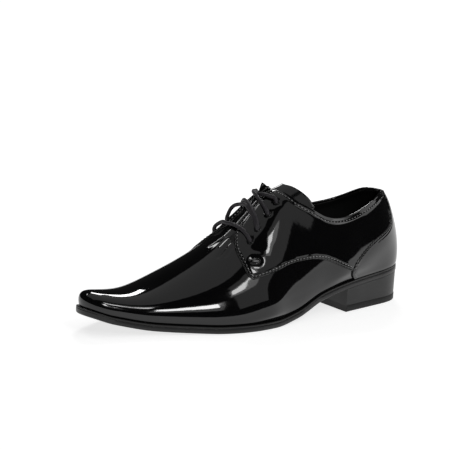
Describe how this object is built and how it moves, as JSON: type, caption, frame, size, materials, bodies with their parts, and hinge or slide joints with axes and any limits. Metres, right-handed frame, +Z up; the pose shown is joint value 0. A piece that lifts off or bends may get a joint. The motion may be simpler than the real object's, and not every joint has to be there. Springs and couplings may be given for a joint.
{
  "type": "leather dress shoe",
  "caption": "Left plain-toe derby dress shoe in black patent leather, with a long squared toe, open lacing, a heel counter with a back tab and a low stacked heel.",
  "frame": {"origin": "on the floor, under the middle of the shoe's length and width", "axes": "+X towards the toe, +Y towards the outer side of this left shoe, +Z up"},
  "size_m": [0.2982, 0.104, 0.1039],
  "materials": {
    "upper": "patent, high gloss",
    "tongue": "patent, high gloss",
    "insole": "smooth, matt",
    "outsole": "dyed edge, satin",
    "heel_block": "dyed stack, satin",
    "heel_lift": "matt",
    "lace": "waxed cord, matt"
  },
  "bodies": {
    "root": {"outsole": "outsole", "heel_block": "heel_block", "heel_lift": "heel_lift", "insole": "insole", "upper": "upper", "tongue": "tongue", "lace_low": "lace", "lace_middle": "lace", "lace_high": "lace"}
  },
  "joints": []
}
